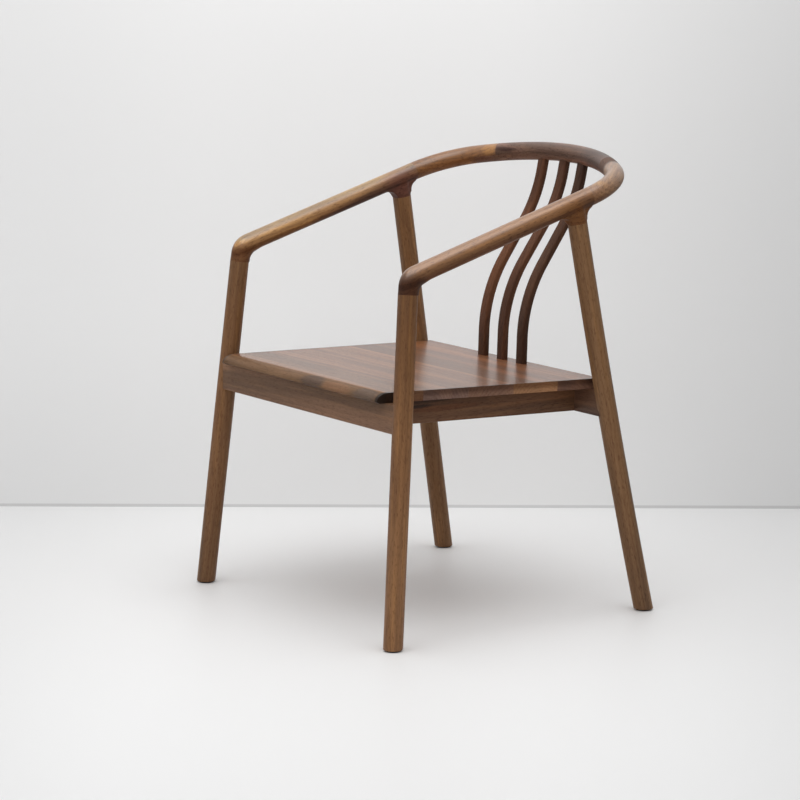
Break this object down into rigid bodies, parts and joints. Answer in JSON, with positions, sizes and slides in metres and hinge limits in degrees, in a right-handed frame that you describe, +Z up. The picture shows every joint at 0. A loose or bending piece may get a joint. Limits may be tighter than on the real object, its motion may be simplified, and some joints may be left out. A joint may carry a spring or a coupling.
{
  "type": "horseshoe back armchair",
  "caption": "Wooden armchair with a round horseshoe rail that runs from arm to arm over splayed round legs, curved back slats and a flat plank seat.",
  "frame": {"origin": "on the floor, under the middle of the chair's overall box", "axes": "+Z up, the chair faces -Y, +X towards the sitter's left"},
  "size_m": [0.673, 0.6374, 0.8204],
  "materials": {
    "leg_wood": "oiled satin wood",
    "arm_wood": "oiled satin wood",
    "bend_wood": "oiled satin wood",
    "crest_wood": "oiled satin wood",
    "slat_wood": "oiled satin wood",
    "seat_wood": "oiled semi-gloss wood",
    "apron_wood": "oiled satin wood",
    "block_wood": "bare wood",
    "dowel_wood": "bare wood",
    "glide_plastic": "matte",
    "screw_steel": "zinc plated"
  },
  "bodies": {
    "root": {"front_leg_left": "leg_wood", "front_leg_right": "leg_wood", "rear_leg_left": "leg_wood", "rear_leg_right": "leg_wood", "front_glide_left": "glide_plastic", "front_glide_right": "glide_plastic", "rear_glide_left": "glide_plastic", "rear_glide_right": "glide_plastic", "arm_left": "arm_wood", "arm_right": "arm_wood", "bend_left": "bend_wood", "bend_right": "bend_wood", "crest_rail": "crest_wood", "arm_dowels": "dowel_wood", "lap_dowels": "dowel_wood", "back_slat_left": "slat_wood", "back_slat_middle": "slat_wood", "back_slat_right": "slat_wood", "seat_board_front": "seat_wood", "seat_board_second": "seat_wood", "seat_board_middle": "seat_wood", "seat_board_fourth": "seat_wood", "seat_board_back": "seat_wood", "front_apron": "apron_wood", "rear_apron": "apron_wood", "side_apron_left": "apron_wood", "side_apron_right": "apron_wood", "front_corner_block_left": "block_wood", "front_corner_block_right": "block_wood", "rear_corner_block_left": "block_wood", "rear_corner_block_right": "block_wood", "apron_screws": "screw_steel", "seat_screws": "screw_steel"}
  },
  "joints": []
}
